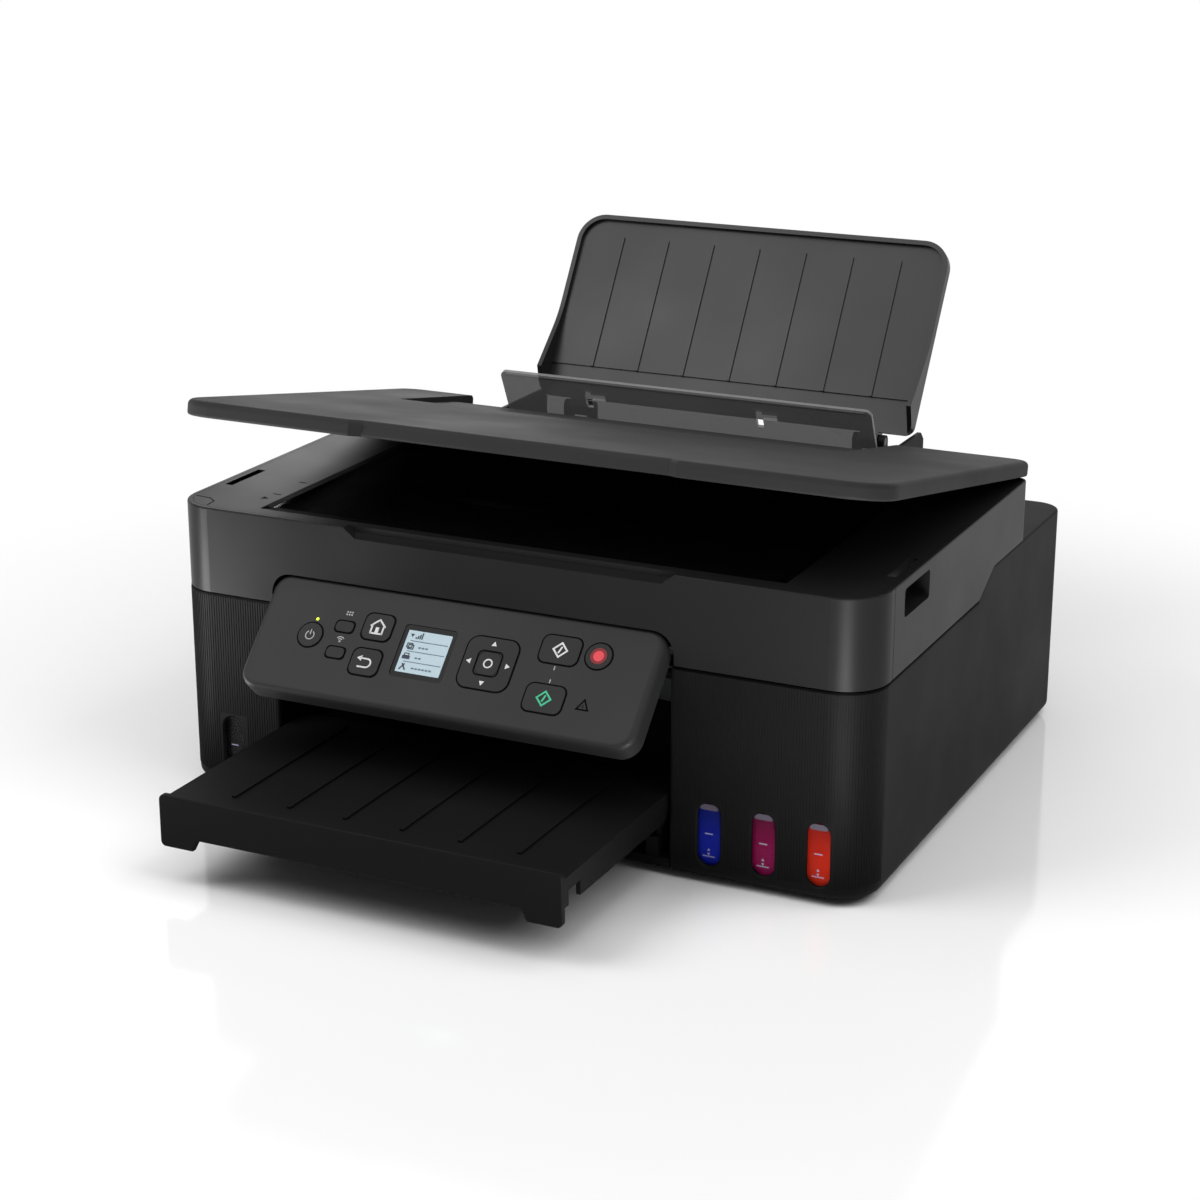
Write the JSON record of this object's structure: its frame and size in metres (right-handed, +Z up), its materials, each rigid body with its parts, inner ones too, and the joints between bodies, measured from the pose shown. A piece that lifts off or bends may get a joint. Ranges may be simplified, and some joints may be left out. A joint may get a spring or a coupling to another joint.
{
  "type": "inkjet printer",
  "caption": "Ink-tank inkjet printer with flatbed scanner, tilting control panel, rear paper feed and pull-out output tray, lid ajar.",
  "frame": {"origin": "middle of the closed body's footprint, at the bottom of the feet", "axes": "+X to the right seen from the front, +Y to the back, +Z up"},
  "size_m": [0.416, 0.5124, 0.2753],
  "materials": {
    "housing_black": "fine moulded texture",
    "scanner_charcoal": "smooth satin",
    "lid_charcoal": "fine moulded texture",
    "lid_foam": "matt dark",
    "panel_charcoal": "smooth satin",
    "key_black": "satin",
    "display_glass": "clear window over a pale screen",
    "scan_glass": "polished",
    "smoked_flap": "smoked, semi clear",
    "window_clear": "clear lens",
    "ink_black": "ink seen through a clear tank",
    "ink_cyan": "ink seen through a clear tank",
    "ink_magenta": "ink seen through a clear tank",
    "ink_yellow": "ink seen through a clear tank",
    "cap_grey": "satin",
    "engine_plastic": "satin",
    "gear_white": "natural acetal",
    "sheet_steel": "zinc-coated sheet",
    "shaft_steel": "ground rod",
    "motor_steel": "plated can",
    "rubber_black": "matt",
    "rubber_grey": "matt",
    "circuit_green": "solder mask",
    "socket_black": "satin",
    "port_steel": "plated shell"
  },
  "bodies": {
    "base": {"lower_housing": "housing_black", "base_pan": "housing_black", "feet": "rubber_black", "scanner_hinge_pins": "shaft_steel", "ink_windows": "window_clear", "chassis": "sheet_steel", "guide_rail": "shaft_steel", "platen": "engine_plastic", "feed_motor": "motor_steel", "carriage_motor": "motor_steel", "timing_belt": "rubber_black", "purge_unit": "engine_plastic", "power_supply": "engine_plastic", "logic_board": "circuit_green", "rear_cover": "housing_black", "power_inlet": "socket_black", "usb_port": "port_steel", "rear_tray": "housing_black", "ink_tank_black": "ink_black", "ink_tank_cyan": "ink_cyan", "ink_tank_magenta": "ink_magenta", "ink_tank_yellow": "ink_yellow"},
    "scanner": {"scanner_case": "scanner_charcoal", "scanner_top": "scanner_charcoal", "platen_glass": "scan_glass"},
    "scan_bar": {"scan_bar": "engine_plastic"},
    "lid": {"lid_shell": "lid_charcoal", "lid_pad": "lid_foam"},
    "panel": {"panel_front": "panel_charcoal", "panel_back": "panel_charcoal", "display": "display_glass"},
    "carriage": {"carriage": "engine_plastic", "print_head_black": "engine_plastic", "print_head_colour": "engine_plastic"},
    "drive_pulley": {"drive_pulley": "gear_white"},
    "idler_pulley": {"idler_pulley": "gear_white"},
    "feed": {"feed_roller": "shaft_steel", "feed_gear": "gear_white"},
    "pinion": {"motor_pinion": "gear_white"},
    "exit_roller": {"exit_roller": "rubber_grey"},
    "pickup": {"pickup_roller": "rubber_grey"},
    "guide_left": {"paper_guide_left": "housing_black"},
    "guide_right": {"paper_guide_right": "housing_black"},
    "slot_cover": {"slot_cover": "smoked_flap"},
    "support": {"paper_support": "housing_black"},
    "tray": {"output_tray": "housing_black"},
    "cap_black": {"tank_cap_black": "cap_grey"},
    "cap_cyan": {"tank_cap_cyan": "cap_grey"},
    "cap_magenta": {"tank_cap_magenta": "cap_grey"},
    "cap_yellow": {"tank_cap_yellow": "cap_grey"},
    "power_key": {"power_key": "key_black"},
    "code_key": {"code_key": "key_black"},
    "connect_key": {"connect_key": "key_black"},
    "home_key": {"home_key": "key_black"},
    "back_key": {"back_key": "key_black"},
    "arrow_key": {"arrow_key": "key_black"},
    "ok_key": {"ok_key": "key_black"},
    "start_black_key": {"start_black_key": "key_black"},
    "start_colour_key": {"start_colour_key": "key_black"},
    "stop_key": {"stop_key": "key_black"}
  },
  "joints": [
    {"name": "scanner_hinge", "type": "hinge", "parent": "base", "child": "scanner", "pos_m": [0, 0.096, 0.15], "axis": [-1, 0, 0], "range_deg": [0, 30]},
    {"name": "lid_hinge", "type": "hinge", "parent": "scanner", "child": "lid", "pos_m": [0, 0.09, 0.1705], "axis": [1, 0, 0], "range_deg": [-49, 11]},
    {"name": "panel_tilt", "type": "hinge", "parent": "scanner", "child": "panel", "pos_m": [0, -0.165, 0.126], "axis": [-1, 0, 0], "range_deg": [-44, 0]},
    {"name": "scan_bar_slide", "type": "slide", "parent": "scanner", "child": "scan_bar", "axis": [1, 0, 0], "range_m": [0, 0.28]},
    {"name": "tray_slide", "type": "slide", "parent": "base", "child": "tray", "axis": [0, 1, 0], "range_m": [0, 0.12]},
    {"name": "support_fold", "type": "hinge", "parent": "base", "child": "support", "pos_m": [0, 0.15506, 0.16078], "axis": [1, 0, 0], "range_deg": [0, 82]},
    {"name": "slot_cover_hinge", "type": "hinge", "parent": "base", "child": "slot_cover", "pos_m": [0, 0.104, 0.1645], "axis": [1, 0, 0], "range_deg": [-115, 0]},
    {"name": "guide_left_slide", "type": "slide", "parent": "base", "child": "guide_left", "axis": [1, 0, 0], "range_m": [0, 0.055]},
    {"name": "guide_right_slide", "type": "slide", "parent": "base", "child": "guide_right", "axis": [1, 0, 0], "range_m": [-0.055, 0]},
    {"name": "carriage_slide", "type": "slide", "parent": "base", "child": "carriage", "axis": [1, 0, 0], "range_m": [-0.28, 0]},
    {"name": "drive_pulley_spin", "type": "hinge", "parent": "base", "child": "drive_pulley", "pos_m": [0.17, 0.0545, 0.102], "axis": [0, 1, 0], "continuous": true},
    {"name": "idler_pulley_spin", "type": "hinge", "parent": "base", "child": "idler_pulley", "pos_m": [-0.17, 0.0545, 0.102], "axis": [0, 1, 0], "continuous": true},
    {"name": "feed_roller_spin", "type": "hinge", "parent": "base", "child": "feed", "pos_m": [0, 0.032, 0.058], "axis": [1, 0, 0], "continuous": true},
    {"name": "motor_pinion_spin", "type": "hinge", "parent": "base", "child": "pinion", "pos_m": [0, 0.032, 0.029], "axis": [1, 0, 0], "continuous": true},
    {"name": "exit_roller_spin", "type": "hinge", "parent": "base", "child": "exit_roller", "pos_m": [0, -0.026, 0.058], "axis": [1, 0, 0], "continuous": true},
    {"name": "pickup_roller_spin", "type": "hinge", "parent": "base", "child": "pickup", "pos_m": [0, 0.11654, 0.13196], "axis": [1, 0, 0], "continuous": true},
    {"name": "cap_black_hinge", "type": "hinge", "parent": "base", "child": "cap_black", "pos_m": [-0.1745, -0.1085, 0.0938], "axis": [-1, 0, 0], "range_deg": [0, 100]},
    {"name": "cap_cyan_hinge", "type": "hinge", "parent": "base", "child": "cap_cyan", "pos_m": [0.1202, -0.1085, 0.0938], "axis": [-1, 0, 0], "range_deg": [0, 100]},
    {"name": "cap_magenta_hinge", "type": "hinge", "parent": "base", "child": "cap_magenta", "pos_m": [0.1507, -0.1085, 0.0938], "axis": [-1, 0, 0], "range_deg": [0, 100]},
    {"name": "cap_yellow_hinge", "type": "hinge", "parent": "base", "child": "cap_yellow", "pos_m": [0.1812, -0.1085, 0.0938], "axis": [-1, 0, 0], "range_deg": [0, 100]},
    {"name": "power_key_press", "type": "slide", "parent": "panel", "child": "power_key", "axis": [0, 0.7193, -0.6947], "range_m": [0, 0.001], "stiffness_N_per_m": 400, "springref_m": -0.0003},
    {"name": "code_key_press", "type": "slide", "parent": "panel", "child": "code_key", "axis": [0, 0.7193, -0.6947], "range_m": [0, 0.001], "stiffness_N_per_m": 400, "springref_m": -0.0003},
    {"name": "connect_key_press", "type": "slide", "parent": "panel", "child": "connect_key", "axis": [0, 0.7193, -0.6947], "range_m": [0, 0.001], "stiffness_N_per_m": 400, "springref_m": -0.0003},
    {"name": "home_key_press", "type": "slide", "parent": "panel", "child": "home_key", "axis": [0, 0.7193, -0.6947], "range_m": [0, 0.001], "stiffness_N_per_m": 400, "springref_m": -0.0003},
    {"name": "back_key_press", "type": "slide", "parent": "panel", "child": "back_key", "axis": [0, 0.7193, -0.6947], "range_m": [0, 0.001], "stiffness_N_per_m": 400, "springref_m": -0.0003},
    {"name": "arrow_key_press", "type": "slide", "parent": "panel", "child": "arrow_key", "axis": [0, 0.7193, -0.6947], "range_m": [0, 0.001], "stiffness_N_per_m": 400, "springref_m": -0.0003},
    {"name": "ok_key_press", "type": "slide", "parent": "panel", "child": "ok_key", "axis": [0, 0.7193, -0.6947], "range_m": [0, 0.001], "stiffness_N_per_m": 400, "springref_m": -0.0003},
    {"name": "start_black_key_press", "type": "slide", "parent": "panel", "child": "start_black_key", "axis": [0, 0.7193, -0.6947], "range_m": [0, 0.001], "stiffness_N_per_m": 400, "springref_m": -0.0003},
    {"name": "start_colour_key_press", "type": "slide", "parent": "panel", "child": "start_colour_key", "axis": [0, 0.7193, -0.6947], "range_m": [0, 0.001], "stiffness_N_per_m": 400, "springref_m": -0.0003},
    {"name": "stop_key_press", "type": "slide", "parent": "panel", "child": "stop_key", "axis": [0, 0.7193, -0.6947], "range_m": [0, 0.001], "stiffness_N_per_m": 400, "springref_m": -0.0003}
  ],
  "couplings": [
    {"joint": "guide_right_slide", "follows": "guide_left_slide", "ratio": -1},
    {"joint": "drive_pulley_spin", "follows": "carriage_slide", "rad_per_m": -114.94},
    {"joint": "idler_pulley_spin", "follows": "carriage_slide", "rad_per_m": -114.94},
    {"joint": "motor_pinion_spin", "follows": "feed_roller_spin", "ratio": -3.1429},
    {"joint": "exit_roller_spin", "follows": "feed_roller_spin", "ratio": 1.0833}
  ]
}
